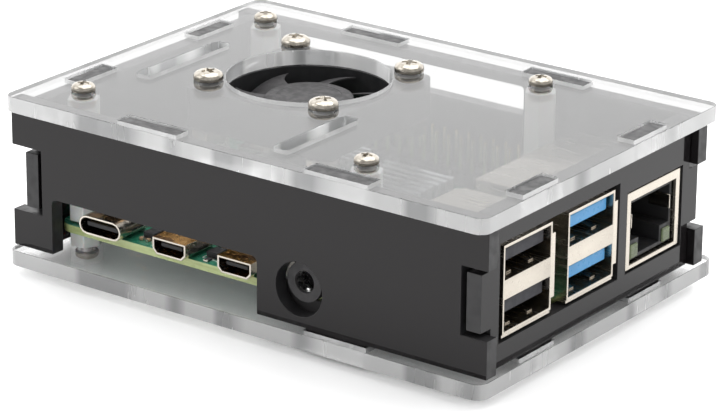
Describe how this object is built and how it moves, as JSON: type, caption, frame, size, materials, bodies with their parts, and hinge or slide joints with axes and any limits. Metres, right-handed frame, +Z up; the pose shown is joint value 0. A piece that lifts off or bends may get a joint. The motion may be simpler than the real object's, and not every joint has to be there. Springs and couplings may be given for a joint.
{
  "type": "single board computer",
  "caption": "Single board computer in a laser-cut case of clear and black acrylic, with a cooling fan in the lid and sockets along two sides.",
  "frame": {"origin": "on the table under the middle of the case, at the level of the lower screw heads", "axes": "+X along the long side towards the USB and network sockets, +Y towards the pin header, +Z up out of the lid"},
  "size_m": [0.0962, 0.0686, 0.0331],
  "materials": {
    "clear_acrylic": "polished clear sheet, laser-cut edges",
    "black_acrylic": "polished black sheet",
    "circuit_board": "green solder mask over copper",
    "chip_resin": "moulded epoxy",
    "black_plastic": "moulded, fine satin",
    "grey_plastic": "moulded, fine satin",
    "blue_plastic": "moulded, fine satin",
    "white_nylon": "moulded nylon",
    "ivory_plastic": "moulded, satin",
    "nickel_shell": "nickel-plated sheet, warm tint",
    "screw_steel": "nickel-plated steel",
    "aluminium": "extruded, brushed",
    "copper_coil": "enamelled copper wire"
  },
  "bodies": {
    "case": {"top_plate": "clear_acrylic", "bottom_plate": "clear_acrylic", "front_wall": "black_acrylic", "back_wall": "black_acrylic", "left_wall": "black_acrylic", "right_wall": "black_acrylic", "circuit_board": "circuit_board", "processor": "nickel_shell", "memory_chip": "chip_resin", "radio_shield": "nickel_shell", "processor_heatsink": "aluminium", "memory_heatsink": "aluminium", "usb2_shell": "nickel_shell", "usb2_insert": "grey_plastic", "usb3_shell": "nickel_shell", "usb3_insert": "blue_plastic", "ethernet_shell": "nickel_shell", "ethernet_insert": "black_plastic", "usb_c_shell": "nickel_shell", "usb_c_insert": "black_plastic", "micro_hdmi_0_shell": "nickel_shell", "micro_hdmi_0_insert": "black_plastic", "micro_hdmi_1_shell": "nickel_shell", "micro_hdmi_1_insert": "black_plastic", "audio_jack": "black_plastic", "gpio_header": "black_plastic", "display_connector": "ivory_plastic", "camera_connector": "ivory_plastic", "card_socket": "nickel_shell", "fan_frame": "black_plastic", "fan_stator": "copper_coil", "fan_screw_1": "screw_steel", "fan_nut_1": "screw_steel", "lid_screw_1": "screw_steel", "base_screw_1": "screw_steel", "standoff_1": "white_nylon", "spacer_1": "white_nylon", "fan_screw_2": "screw_steel", "fan_nut_2": "screw_steel", "lid_screw_2": "screw_steel", "base_screw_2": "screw_steel", "standoff_2": "white_nylon", "spacer_2": "white_nylon", "fan_screw_3": "screw_steel", "fan_nut_3": "screw_steel", "lid_screw_3": "screw_steel", "base_screw_3": "screw_steel", "standoff_3": "white_nylon", "spacer_3": "white_nylon", "fan_screw_4": "screw_steel", "fan_nut_4": "screw_steel", "lid_screw_4": "screw_steel", "base_screw_4": "screw_steel", "standoff_4": "white_nylon", "spacer_4": "white_nylon"},
    "fan_wheel": {"fan_rotor": "black_plastic", "fan_shaft": "screw_steel"},
    "card": {"memory_card": "chip_resin"},
    "display_clamp": {"display_latch": "black_plastic"},
    "camera_clamp": {"camera_latch": "black_plastic"}
  },
  "joints": [
    {"name": "fan_spin", "type": "hinge", "parent": "case", "child": "fan_wheel", "pos_m": [-0.0142, 0.00455, 0.02328], "axis": [0, 0, 1], "continuous": true},
    {"name": "card_slide", "type": "slide", "parent": "case", "child": "card", "axis": [-1, 0, 0], "range_m": [0, 0.012]},
    {"name": "display_latch_lift", "type": "slide", "parent": "case", "child": "display_clamp", "axis": [0, 0, 1], "range_m": [0, 0.001]},
    {"name": "camera_latch_lift", "type": "slide", "parent": "case", "child": "camera_clamp", "axis": [0, 0, 1], "range_m": [0, 0.001]}
  ]
}
